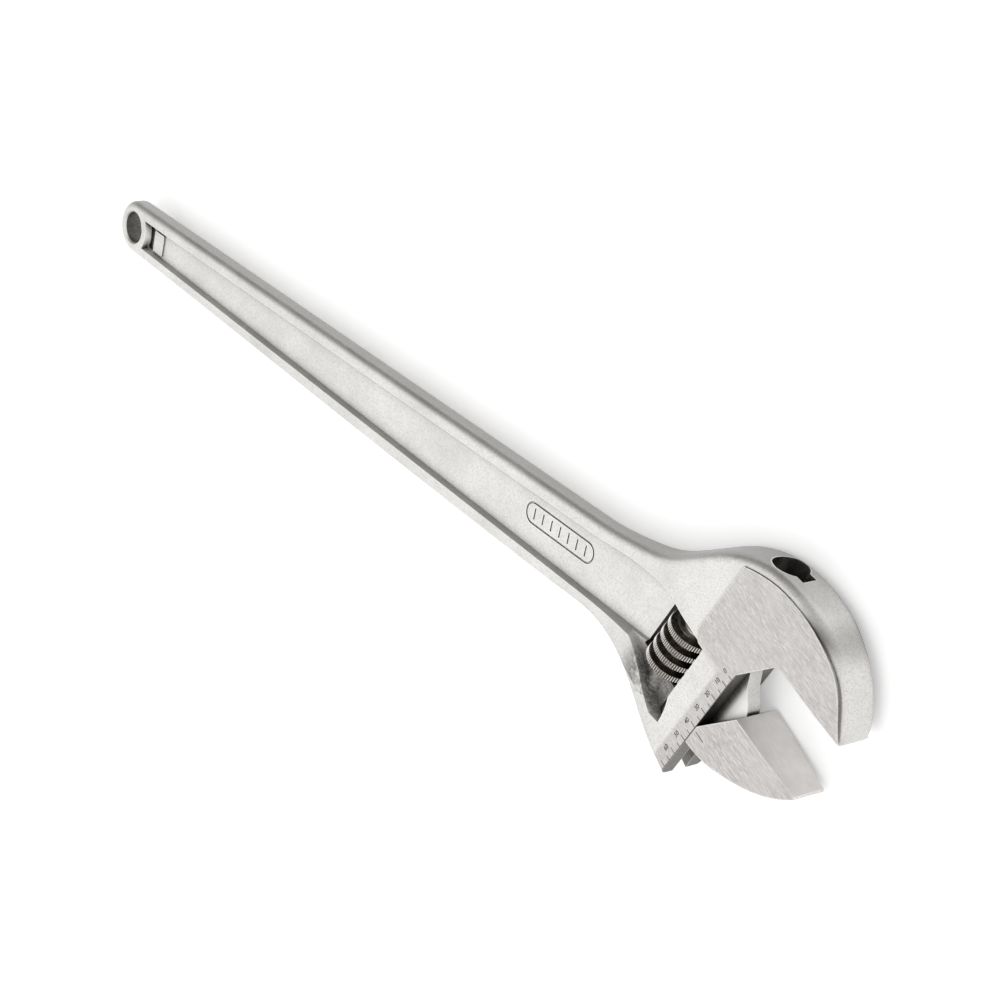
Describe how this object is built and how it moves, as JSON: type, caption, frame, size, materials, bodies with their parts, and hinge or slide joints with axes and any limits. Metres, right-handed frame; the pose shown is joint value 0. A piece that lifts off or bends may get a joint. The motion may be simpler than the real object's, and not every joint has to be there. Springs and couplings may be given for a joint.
{
  "type": "adjustable wrench",
  "caption": "Large adjustable wrench: forged I-section handle with a hang hole and angled head, a sliding jaw on a round rack, and a knurled worm that moves it.",
  "frame": {"origin": "centre of the hang hole, at mid thickness", "axes": "+X along the handle towards the head, +Y to the fixed jaw's side, +Z out of the upper face of the wrench lying flat"},
  "size_m": [0.6154, 0.1235, 0.0264],
  "materials": {
    "satin_steel": "satin chrome over a forging, with the head's faces ground in straight strokes",
    "ground_steel": "straight grinding marks along the jaw",
    "worm_steel": "dark turned steel with knurled thread crests",
    "pin_steel": "plain turned steel",
    "spring_steel": "oiled spring wire"
  },
  "bodies": {
    "body": {"forged_body": "satin_steel", "worm_pin": "pin_steel", "worm_spring": "spring_steel"},
    "jaw": {"movable_jaw": "ground_steel"},
    "worm": {"adjusting_worm": "worm_steel"}
  },
  "joints": [
    {"name": "jaw_slide", "type": "slide", "parent": "body", "child": "jaw", "axis": [-0.3827, -0.9239, 0], "range_m": [-0.0377, 0.0241]},
    {"name": "worm_spin", "type": "hinge", "parent": "body", "child": "worm", "pos_m": [0.49381, -0.00712, 0], "axis": [-0.3827, -0.9239, 0], "range_deg": [-1190.5, 1861.2]}
  ],
  "couplings": [
    {"joint": "worm_spin", "follows": "jaw_slide", "rad_per_m": -860.71}
  ]
}
